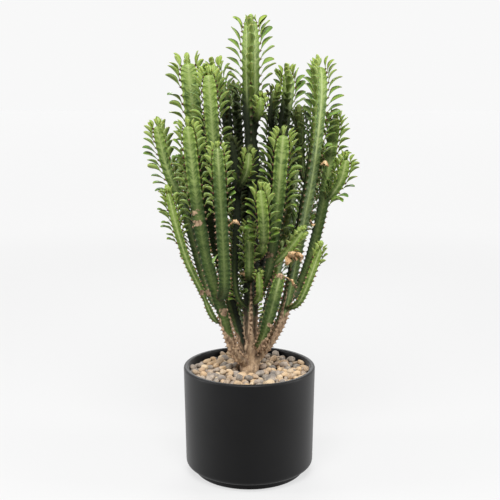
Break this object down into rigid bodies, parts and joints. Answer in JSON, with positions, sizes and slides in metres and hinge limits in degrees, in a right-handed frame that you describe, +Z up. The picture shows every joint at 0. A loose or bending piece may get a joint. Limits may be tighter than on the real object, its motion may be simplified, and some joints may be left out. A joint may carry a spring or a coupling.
{
  "type": "potted euphorbia",
  "caption": "Tall upright succulent shrub with three-ribbed leafy stems on a woody trunk, in a round pot topped with pebbles.",
  "frame": {"origin": "centre of the pot's flat foot, on the surface it stands on", "axes": "+Z up along the pot's axis and the plant's leader, -Y towards the front, +X to the right"},
  "size_m": [0.48, 0.3284, 1.03],
  "materials": {
    "pot": "matte",
    "soil": "matte",
    "pebbles": "matte",
    "bark": "matte",
    "stem": "satin"
  },
  "bodies": {
    "root": {"pot": "pot", "soil": "soil", "pebbles": "pebbles", "trunk": "bark", "stem_leader": "stem", "stem_left_arm": "stem", "stem_right_arm": "stem", "stem_left_tall": "stem", "stem_back_left": "stem", "stem_back_right": "stem", "stem_right_blunt": "stem", "stem_back_middle": "stem", "stem_left_slender": "stem", "stem_right_front": "stem", "stem_right_inner": "stem", "stem_low_shoot": "stem", "stem_centre_short": "stem", "stem_centre_front": "stem", "stem_top_shoot": "stem", "stem_left_outer": "stem", "stem_left_far": "stem", "stem_left_front": "stem", "stem_left_inner": "stem", "stem_left_behind": "stem", "stem_back_left_high": "stem", "stem_right_outer": "stem", "stem_right_low": "stem", "stem_right_behind": "stem", "stem_right_far": "stem", "stem_right_leaning": "stem", "stem_centre_shoot": "stem", "stem_inner_shoot": "stem", "stem_back_inner": "stem", "stem_back_high": "stem", "stem_back_left_outer": "stem", "stem_back_shoot_left": "stem", "stem_back_shoot_right": "stem", "stem_back_right_outer": "stem"}
  },
  "joints": []
}
